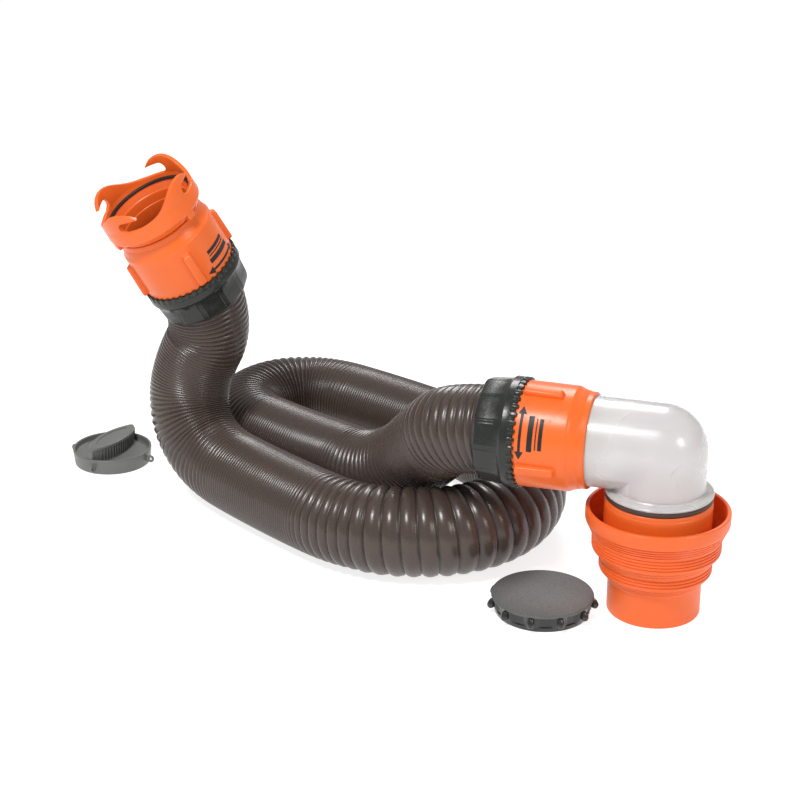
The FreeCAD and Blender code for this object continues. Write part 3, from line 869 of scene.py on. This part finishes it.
def make_locking_ring(end, place):
    outline = [
        (47.2, -0.4),
        (50.7, -0.4),
        (50.8, 2.6),
        (52.4, 2.6),
        (53.1, 1.6),
        (53.2, -3.2),
        (52.7, -4.0),
        (52.9, -4.8),
        (53.2, -10.6),
        (52.4, -12.0),
        (51.6, -13.0),
        (51.2, -19.0),
        (50.8, -26.0),
        (50.2, -33.0),
        (49.4, -36.8),
        (48.2, -38.0),
        (46.6, -38.0),
        (46.0, -36.0),
        (46.2, -17.0),
        (47.2, -17.0),
    ]
    ring = turned(f"{end}_locking_ring_grip", outline, TOOTH_COUNT * STEPS_PER_TOOTH)
    only(ring)
    for vertex in ring.data.vertices:
        reach = math.hypot(vertex.co.x, vertex.co.y)
        angle = math.degrees(math.atan2(vertex.co.y, vertex.co.x)) % 360
        up = vertex.co.z / MM
        if reach > 50.6 * MM and up > -3.6:
            tooth = abs(angle * TOOTH_COUNT / 360 % 1 - 0.5) * 2
            gap = eased((tooth - 0.35) / 0.35)
            drawn = 1 - TOOTH_DEPTH * gap * (1 if reach > 52 * MM else 0)
            if up > 0:
                vertex.co.z -= up * gap * 0.9 * MM
        elif up < FLATS_START and reach > 47.6 * MM:
            amount = eased((FLATS_START - up) / 2.5)
            flat = (angle * FLAT_COUNT / 360 % 1) - 0.5
            chord = math.cos(math.radians(360 / FLAT_COUNT / 2))
            local = chord / math.cos(math.radians(flat * 360 / FLAT_COUNT))
            drawn = 1 - (1 - local) * 0.9 * amount
            drawn -= FLUTE_DEPTH * (1 if abs(flat) > 0.44 else 0) * amount
        else:
            drawn = 1
        vertex.co.x *= drawn
        vertex.co.y *= drawn
    soften(ring, 0.3 * MM, 2, 28)
    hand_over(ring, place, f"{end}_lock", black_plastic,
              f"{end}_locking_ring", 28)


for end, place in (("bayonet", bayonet_place), ("elbow", elbow_collar_place)):
    make_locking_ring(end, place)

# %% [markdown]
# ## The bayonet ring
# The mouth is a short pipe that swells into a skirt, with a funnel inside and a gasket near the
# rim. Four hooks like wave crests rise from it: a long slope, a rounded crest, and a claw that
# curls down over a slot. The skirt is turned; a hook is drawn flat, given thickness and wrapped.

# %% Skirt and funnel
RIM = 91.0
skirt = turned("bayonet_ring_skirt", [
    (42.8, 68.2),
    (45.8, 68.6),
    (46.4, 70.6),
    (47.4, 71.8),
    *arc(47.6, 77.4, 5.2, -62, 8, 8),
    (52.5, 82.0),
    (52.4, RIM - 0.6),
    (51.6, RIM),
    (49.0, RIM),
    (48.3, RIM - 0.6),
    (48.2, 84.0),
    (46.4, 84.0),
    (45.6, 83.0),
    (42.6, 76.2),
    (41.6, 75.6),
    (41.2, 74.6),
    (41.1, 66.0),
    (40.2, 65.2),
    (40.1, 47.0),
    (42.8, 47.0),
], 160)
soften(skirt, 0.3 * MM, 2)

# %% Hooks
HOOK_FIRST = 73.0
HOOK_COUNT = 4
WALL_MIDDLE = 48.4
HOOK_THICK = 4.0


def curve_through(corners, rounds=3):
    """Round an outline by cutting its corners, again and again; a doubled corner stays sharp."""
    for _ in range(rounds):
        rounded = []
        for index, here in enumerate(corners):
            after = corners[(index + 1) % len(corners)]
            if here == after:
                rounded.append(here)
                continue
            rounded.append((here[0] * 0.75 + after[0] * 0.25, here[1] * 0.75 + after[1] * 0.25))
            rounded.append((here[0] * 0.25 + after[0] * 0.75, here[1] * 0.25 + after[1] * 0.75))
        corners = rounded
    return corners


HOOK_OUTLINE = curve_through([
    (-72, -9), (-72, -1), (-59, 0.5), (-47, 3), (-37, 8.5), (-29, 14.5), (-20, 19.5), (-11, 21),
    (-2, 19.5), (5, 16), (10, 11), (10, 11), (4, 11.8), (-3, 12), (-8, 12.4),
    (-11.5, 9.5), (-12.5, 5.5), (-11.5, 2.4), (-8.5, 1.2), (-6, -1), (-6, -9),
])
hook = flat_shape("hook", HOOK_OUTLINE, HOOK_THICK)
sliced(hook, 2.5)
for vertex in hook.data.vertices:
    vertex.co.y += RIM * MM
wrapped(hook, WALL_MIDDLE, HOOK_FIRST)
soften(hook, 0.9 * MM, 3, 50)
hooks = turned_copies(hook, HOOK_COUNT)
print("hook:", len(hook.data.polygons), "faces")

# %% Tabs under the skirt
TAB_TURNS = (-60.0, 52.0, 120.0, 232.0)
tabs = []
for turn in TAB_TURNS:
    tab = block("tab", (8.0, 10.0, 8.4), (48.4, 0, 72.2), 1.2, 3)
    set_in_place(tab, Matrix.Rotation(math.radians(turn), 4, "Z"))
    tabs.append(tab)
bayonet_mouth = joined("bayonet_ring_mouth", [skirt] + hooks + tabs)
hand_over(bayonet_mouth, bayonet_place, "bayonet_swivel", orange_plastic,
          "bayonet_ring")

mouth_gasket = turned("bayonet_mouth_gasket", [
    (44.8, 84.1), (48.1, 84.1), (48.1, 85.9), (47.6, 86.5), (46.4, 86.5), (45.0, 85.8),
], 128)
soften(mouth_gasket, 0.3 * MM, 2)
hand_over(mouth_gasket, bayonet_place, "bayonet_swivel", seal_rubber,
          "bayonet_gasket")

# %% [markdown]
# ## The clear elbow
# Two pipes meet at a right angle. The outer corner is part of a ball and the inner corner is
# sharp. A boolean of two cylinders and a sphere would do, but their surfaces touch along lines,
# which booleans handle badly. So one ring is mitred by hand and its upper half is spun through
# the quarter turn, which is how the ball forms. Solidify then gives the wall its thickness.

# %% Elbow pipe
PIPE = 43.0
BORE_WALL = 3.0
LEG = 85.0
DROP = 53.0
AROUND = 96
CORNER_STEPS = 16


def elbow_pipe():
    nothing_selected()
    bpy.ops.mesh.primitive_circle_add(vertices=AROUND, radius=PIPE * MM,
                                      rotation=(0, math.radians(90), 0))
    piece = name_active("elbow_pipe")
    bpy.ops.object.transform_apply(location=True, rotation=True, scale=True)
    bpy.ops.object.mode_set(mode="EDIT")
    bpy.ops.mesh.select_all(action="SELECT")
    bpy.ops.mesh.extrude_edges_move(TRANSFORM_OT_translate={"value": (-LEG * MM, 0, 0)})
    bpy.ops.object.mode_set(mode="OBJECT")
    for vertex in piece.data.vertices:
        if vertex.co.x > -1e-6:
            vertex.co.x = min(0.0, vertex.co.z)
    pick(piece, lambda spot: spot.x > -1e-6 and spot.z > -1e-6)
    bpy.ops.mesh.spin(steps=CORNER_STEPS, angle=math.radians(-90), center=(0, 0, 0),
                      axis=(0, 1, 0))
    bpy.ops.object.mode_set(mode="OBJECT")
    tidy_shell(piece)
    return piece


def on_drop_ring(spot):
    """On the mitre below, or on the spun edge level with the heart."""
    round_drop = abs(math.hypot(spot.x, spot.y) - PIPE * MM) < 1e-5
    mitre = spot.x <= 1e-6 and abs(spot.x - spot.z) < 1e-5
    return round_drop and (mitre or abs(spot.z) < 1e-6)


pipe = elbow_pipe()
pick(pipe, on_drop_ring)
bpy.ops.mesh.extrude_edges_move(TRANSFORM_OT_translate={"value": (0, 0, -0.5 * MM)})
bpy.ops.transform.resize(value=(1, 1, 0), center_override=(0, 0, -DROP * MM))
bpy.ops.object.mode_set(mode="OBJECT")
tidy_shell(pipe)
apply_modifier(pipe, "SOLIDIFY", thickness=BORE_WALL * MM, offset=-1.0)
hand_over(pipe, elbow_place, "elbow_swivel", clear_plastic, "elbow", 40)

# %% Flanges of the elbow
outlet_flange = turned("elbow_outlet_flange", [
    (43.02, -43.2), (49.4, -43.2), *arc(49.6, -41.4, 1.6, -60, 60, 6), (47.6, -38.9),
    (44.2, -38.4), (43.02, -37.2),
], 128)
hand_over(outlet_flange, elbow_place, "elbow_swivel", clear_plastic)
swivel_flange = turned("elbow_swivel_flange", [
    (43.02, 46.5), (46.7, 46.5), (46.7, 55.7), (43.02, 55.7),
], 96)
hand_over(swivel_flange, elbow_collar_place, "elbow_swivel", clear_plastic)
outlet_seal = turned("elbow_outlet_seal", [
    (43.0, -47.8), (50.0, -47.8), (50.6, -47.2), (50.6, -44.0), (50.0, -43.3), (43.0, -43.3),
], 128)
soften(outlet_seal, 0.3 * MM, 2)
hand_over(outlet_seal, elbow_place, "elbow_swivel", brown_gasket, "elbow_gasket")

# %% [markdown]
# ## The stepped adapter
# A soft bowl grips a hard sleeve. Its outside steps down so that it seals in pipes of three sizes,
# and the steps are scored with fine grooves that bite. Grooves are cut in the half section itself,
# because a bump would vanish at the edge of the shape, where grooves show most.

# %% Sleeve and bowl
GROOVE = 1.1


def grooved(start, end, count):
    """A stretch of a half section with shallow grooves across it."""
    corners = []
    length = math.dist(start, end)
    inward = ((end[1] - start[1]) / length, -(end[0] - start[0]) / length)
    for index in range(count):
        for share, sunk in ((0.2, 0), (0.42, GROOVE), (0.58, GROOVE), (0.8, 0)):
            at = (index + share) / count
            corners.append((start[0] + (end[0] - start[0]) * at - inward[0] * sunk,
                            start[1] + (end[1] - start[1]) * at - inward[1] * sunk))
    return [start] + corners + [end]


SLEEVE_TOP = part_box("adapter_sleeve")[1].z / MM
sleeve = turned("adapter_sleeve_wall", [
    (43.5, 46.0), (50.8, 46.0), (50.9, 78.0), (50.9, SLEEVE_TOP - 5.0), (50.4, SLEEVE_TOP - 4.4),
    (50.5, SLEEVE_TOP - 0.8), (49.8, SLEEVE_TOP), (46.6, SLEEVE_TOP), (46.5, 50.0), (43.5, 50.0),
], 144)
soften(sleeve, 0.3 * MM, 2)
hand_over(sleeve, adapter_place, "adapter", orange_plastic, "adapter_sleeve")

bowl = turned("adapter_bowl_steps", [
    (41.0, 0.2), (41.6, 0.0), (43.7, 0.0), (44.4, 1.2),
    (44.4, 31.5),
    *grooved((45.2, 34.0), (52.8, 43.0), 3),
    *grooved((53.6, 45.0), (53.6, 55.0), 3),
    *grooved((54.4, 57.0), (60.6, 64.5), 2),
    *grooved((61.2, 66.5), (61.4, 79.0), 4),
    *grooved((62.0, 80.5), (67.4, 92.0), 4),
    (68.2, 94.5),
    (68.2, 104.4),
    (67.4, 105.6),
    (65.0, 105.7),
    (64.2, 104.9),
    (64.0, 90.0),
    (63.0, 87.0),
    (57.4, 78.0),
    (57.0, 76.0),
    (57.0, 68.0),
    (54.4, 63.0),
    (51.2, 58.5),
    (51.0, 46.0),
    (41.0, 37.0),
], 160)
hand_over(bowl, adapter_place, "adapter", orange_rubber, "adapter_bowl", 30)

# %% [markdown]
# ## The lug cap
# This cap plugs the bayonet mouth for storage. It is a dish with a leaf-shaped handle across it
# and four eyelets for its strap. The leaf is two shallow arcs that meet, extruded: the brim stands
# out a little over the flanks, and the fine ribs under it are copies of one rounded post.

# %% Lug cap
HANDLE_TOP = 29.5
HANDLE_HALF = 45.0
HANDLE_WIDE = 15.0
HANDLE_TURN = 63.0
EYELET_TURN = 70.0

dish = turned("lug_cap_dish", [
    (0, 8.4), (39.0, 8.4), (39.6, 0.0), (42.0, 0.0), (42.5, 0.8), (43.8, 12.6), (44.2, 15.0),
    *arc(43.2, 16.2, 1.1, 0, 90, 4), (42.0, 17.2), (41.6, 16.4), (41.2, 12.2), (40.4, 11.2),
    (0, 11.0),
], 160)
soften(dish, 0.25 * MM, 2)


def leaf_bulge(along, half_long, half_wide):
    """How far a leaf's edge is from its middle line at a place along it."""
    radius = (half_long ** 2 + half_wide ** 2) / (2 * half_wide)
    return math.sqrt(radius ** 2 - along ** 2) - (radius - half_wide)


def leaf_outline(half_long, half_wide, steps=7):
    """Two shallow arcs that meet in rounded ends."""
    corners = []
    for side in (1, -1):
        for step in range(1, steps):
            along = -half_long + 2 * half_long * step / steps
            corners.append((along * side, -leaf_bulge(along, half_long, half_wide) * side))
        corners.append((half_long * side, 0))
    return curve_through(corners, 2)


def leaf_slab(name, inset, thick, bottom, rounding=0.0, segments=3):
    """A slab in the handle's shape, a little smaller than it all round."""
    slab = flat_shape(name, leaf_outline(HANDLE_HALF - inset[0], HANDLE_WIDE - inset[1]), thick)
    if rounding:
        soften(slab, rounding * MM, segments, 40)
    set_in_place(slab, Matrix.Translation((0, 0, bottom * MM)))
    return slab


# %% Handle
leaf = leaf_slab("leaf", (1.5, 1.5), HANDLE_TOP - 10.0, 10.0, 1.6, 4)

# A shallow framed recess on top, as for a label, left plain.
recess = leaf_slab("recess", (14.0, 6.0), 4.0, HANDLE_TOP - 0.7)
united(leaf, recess, "DIFFERENCE")

# An overhanging brim round the top, and ribs under it.
brim = leaf_slab("brim", (0, 0), 4.4, HANDLE_TOP - 5.0, 1.3)
foot = leaf_slab("foot", (0.5, 0.5), 2.0, 10.4, 0.6, 2)

RIBS_A_SIDE = 17
posts = []
for side in (-1, 1):
    for index in range(RIBS_A_SIDE):
        along = -31.0 + 62.0 * index / (RIBS_A_SIDE - 1)
        reach = leaf_bulge(along, HANDLE_HALF, HANDLE_WIDE) - 1.2
        post = block("post", (1.5, 1.6, 14.0), (along, side * reach, 18.0), 0.5, 2)
        posts.append(post)
noses = []
for side in (-1, 1):
    nose = turned("nose", [(0, 10.6), (3.4, 10.6), (3.4, 25.4), (2.4, 26.6), (0, 26.8)], 32)
    soften(nose, 0.8 * MM, 3)
    set_in_place(nose, Matrix.Translation((side * 39.6 * MM, 0, 0)))
    noses.append(nose)
handle = joined("lug_cap_handle", [leaf, brim, foot] + noses + posts)
set_in_place(handle, Matrix.Rotation(math.radians(HANDLE_TURN + 180), 4, "Z"))

# %% Eyelets
# Eyelets for the strap stand upright on the dish's side, each on a short web.
nothing_selected()
bpy.ops.mesh.primitive_torus_add(major_radius=3.0 * MM, minor_radius=1.35 * MM, major_segments=32,
                                 minor_segments=16, location=(48.2 * MM, 0, 8.6 * MM),
                                 rotation=(math.radians(90), 0, 0))
eyelet = name_active("eyelet")
bpy.ops.object.transform_apply(location=True, rotation=True, scale=True)
web = block("web", (3.6, 3.4, 7.0), (43.8, 0, 8.6), 0.8, 2)
eyelet = joined("eyelet", [eyelet, web])
eyelets = turned_copies(eyelet, 4, EYELET_TURN)
lug_cap = joined("lug_cap_dish", [dish, handle] + eyelets)
hand_over(lug_cap, lug_cap_place, "lug_cap_loose", lug_grey, "lug_cap", 32)

# %% [markdown]
# ## The bayonet cap
# The other cap has a flat grained disc. Under its edge, teardrop knobs for the fingers alternate
# with hollow scoops, and a narrower ring below goes over the fitting. The scooped skirt is a
# turned ring whose vertices are drawn in between the knobs.

# %% Bayonet cap
KNOB_COUNT = 11
KNOB_FIRST = 155.0
KNOB_TOP = 14.9
STEPS_PER_KNOB = 16
lid_disc = turned("bayonet_cap_disc", [
    (0, 14.6), (44.0, 14.6), (47.6, 14.9), *arc(47.7, 16.3, 1.4, -60, 60, 6), (47.4, 17.9),
    (0, 18.0),
], KNOB_COUNT * STEPS_PER_KNOB)
hand_over(lid_disc, lid_place, "bayonet_cap_loose", lid_grey, "bayonet_cap", 30)

# %% Its scooped skirt, knobs and claws
SCOOP = 0.075
skirt_ring = turned("bayonet_cap_skirt", [
    (43.6, 14.9), (43.6, 0.0), (45.2, 0.0), (45.6, 0.6), (45.8, 4.0), (46.8, 5.0), (47.6, 8.0),
    (48.0, 11.0), (48.2, 14.9),
], KNOB_COUNT * STEPS_PER_KNOB)
for vertex in skirt_ring.data.vertices:
    reach = math.hypot(vertex.co.x, vertex.co.y) / MM
    up = vertex.co.z / MM
    angle = math.degrees(math.atan2(vertex.co.y, vertex.co.x)) - KNOB_FIRST
    share = abs((angle * KNOB_COUNT / 360 + 0.5) % 1 - 0.5) * 2
    if reach > 46.0:
        drawn = 1 - SCOOP * eased((share - 0.15) / 0.6) * eased((reach - 45.8) / 1.6)
        vertex.co.x *= drawn
        vertex.co.y *= drawn
knob = turned("knob", [
    (0, 5.0), (1.9, 5.4), (3.3, 6.8), (3.8, 8.6), (3.5, 10.6), (3.0, 12.8), (2.2, 14.4),
    (0, KNOB_TOP),
], 24)
hung = Matrix.Translation((48.2 * MM, 0, KNOB_TOP * MM))
lean = hung @ Matrix.Rotation(math.radians(-16), 4, "Y")
set_in_place(knob, lean @ Matrix.Translation((0, 0, -KNOB_TOP * MM)))
knobs = turned_copies(knob, KNOB_COUNT, KNOB_FIRST)
claw = block("claw", (4.0, 17.0, 3.0), (42.0, 0, 2.6), 0.6, 2)
claws = turned_copies(claw, 4, 25.0)
lid_grip = joined("bayonet_cap_skirt", [skirt_ring] + knobs + claws)
hand_over(lid_grip, lid_place, "bayonet_cap_loose", knob_grey, None, 40)

# %% [markdown]
# ## Finishes for the pieces that stay
# Collets and seals are inside, where only a raised cap or a look down a bore shows them. Their
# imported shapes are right, so they only take a better finish.

# %% Inner pieces
KEPT = {"collet": black_plastic, "hose_seal": seal_rubber, "swivel_seal": seal_rubber,
        "cap_gasket": seal_rubber}
for name, node in frame["nodes"].items():
    for ending, finish in KEPT.items():
        if name.endswith(ending):
            node.data.materials.clear()
            node.data.materials.append(finish)
            print("refinished:", name)

# %% [markdown]
# ## Floor and light
# A pale floor and broad, soft lamps show the shapes without hard shadows. The key lamp is high at
# the front left, a fill stands at the right, and a broad lamp behind draws light edges on the hose.

# %% Stage
FLOOR_SIZE = 90
LOOK_AT = Vector((0, 0, 0.1))
nothing_selected()
bpy.ops.mesh.primitive_plane_add(size=FLOOR_SIZE)
floor = name_active("floor")
paper = Finish("floor_paper")
paper.set(Base_Color=(0.45, 0.45, 0.45, 1), Roughness=0.9, Specular_IOR_Level=0.1)
paper.set(Emission_Color=(1, 1, 1, 1), Emission_Strength=0.80)
floor.data.materials.append(paper.material)

world = bpy.data.worlds.new("studio")
world.use_nodes = True
background = world.node_tree.nodes["Background"]
background.inputs["Color"].default_value = (1, 1, 1, 1)
background.inputs["Strength"].default_value = 0.42
bpy.context.scene.world = world
bpy.context.scene.view_settings.view_transform = "Standard"

# %% Lamps
# Name, place, size in metres and power in watts.
LAMPS = (
    ("key", (-0.7, -1.1, 2.0), 0.5, 34),
    ("fill", (1.5, -1.3, 1.2), 0.7, 9),
    ("rim", (0.3, 1.5, 1.7), 0.9, 22),
)
for name, spot, size, power in LAMPS:
    lamp_data = bpy.data.lights.new(name, "AREA")
    lamp_data.shape = "DISK"
    lamp_data.size = size
    lamp_data.energy = power
    lamp = bpy.data.objects.new(name, lamp_data)
    lamp.location = spot
    lamp.rotation_euler = (LOOK_AT - Vector(spot)).to_track_quat("-Z", "Y").to_euler()
    bpy.context.scene.collection.objects.link(lamp)
print("lamps:", [lamp[0] for lamp in LAMPS])
